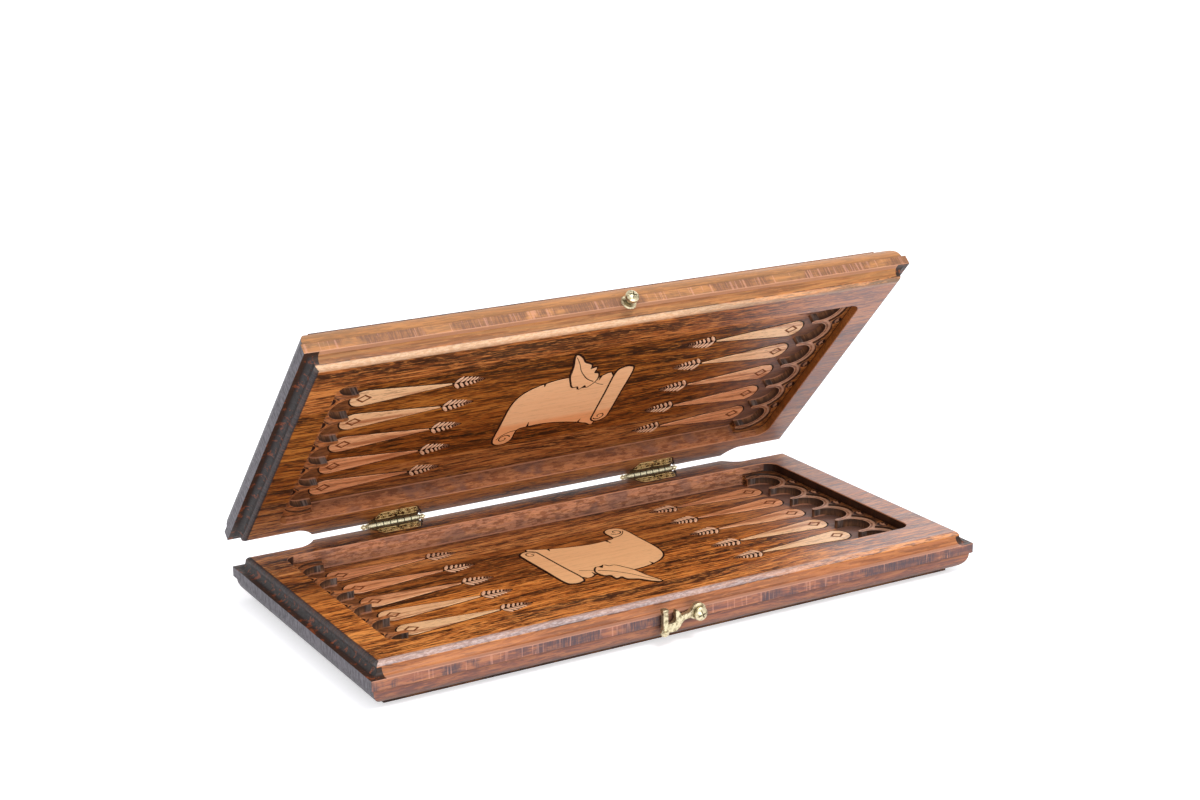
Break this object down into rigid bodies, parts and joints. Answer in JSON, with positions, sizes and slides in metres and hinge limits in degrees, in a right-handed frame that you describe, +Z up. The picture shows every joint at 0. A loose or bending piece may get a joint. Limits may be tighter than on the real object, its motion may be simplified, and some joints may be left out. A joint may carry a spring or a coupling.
{
  "type": "backgammon board",
  "caption": "Folding carved wooden backgammon board: mirror-image trays with stone seats, ball-tipped hinges and a cast brass hook.",
  "frame": {"origin": "centre of the lower tray's base face, where it rests on a table", "axes": "+X along the hinges, +Y towards the hinges, +Z up; the hook is at -Y"},
  "size_m": [0.5, 0.2768, 0.2359],
  "materials": {
    "lower_stave_front": "stained beech stave under satin lacquer",
    "lower_stave_2": "stained beech stave under satin lacquer",
    "lower_stave_3": "stained beech stave under satin lacquer",
    "lower_stave_back": "stained beech stave under satin lacquer",
    "upper_stave_front": "stained beech stave under satin lacquer",
    "upper_stave_2": "stained beech stave under satin lacquer",
    "upper_stave_3": "stained beech stave under satin lacquer",
    "upper_stave_back": "stained beech stave under satin lacquer",
    "latch_brass": "pale cast brass, lightly aged",
    "hinge_brass": "dark antiqued stamped brass with rubbed high spots"
  },
  "bodies": {
    "lower_tray": {"lower_stave_front": "lower_stave_front", "lower_stave_2": "lower_stave_2", "lower_stave_3": "lower_stave_3", "lower_stave_back": "lower_stave_back", "lower_leaf_left": "hinge_brass", "lower_leaf_right": "hinge_brass", "hinge_pin_left": "hinge_brass", "hinge_pin_right": "hinge_brass", "hinge_tips": "hinge_brass", "lower_leaf_nails": "hinge_brass", "hook_washer": "latch_brass", "hook_screw": "latch_brass"},
    "upper_tray": {"upper_stave_front": "upper_stave_front", "upper_stave_2": "upper_stave_2", "upper_stave_3": "upper_stave_3", "upper_stave_back": "upper_stave_back", "upper_leaf_left": "hinge_brass", "upper_leaf_right": "hinge_brass", "upper_leaf_nails": "hinge_brass", "stud_washer": "latch_brass", "stud_screw": "latch_brass"},
    "hook": {"latch_hook": "latch_brass"}
  },
  "joints": [
    {"name": "board_fold", "type": "hinge", "parent": "lower_tray", "child": "upper_tray", "pos_m": [0, 0.1298, 0.03255], "axis": [-1, 0, 0], "range_deg": [-47, 133]},
    {"name": "hook_swing", "type": "hinge", "parent": "lower_tray", "child": "hook", "pos_m": [0, -0.125, 0.0212], "axis": [0, 1, 0], "range_deg": [0, 90]}
  ]
}
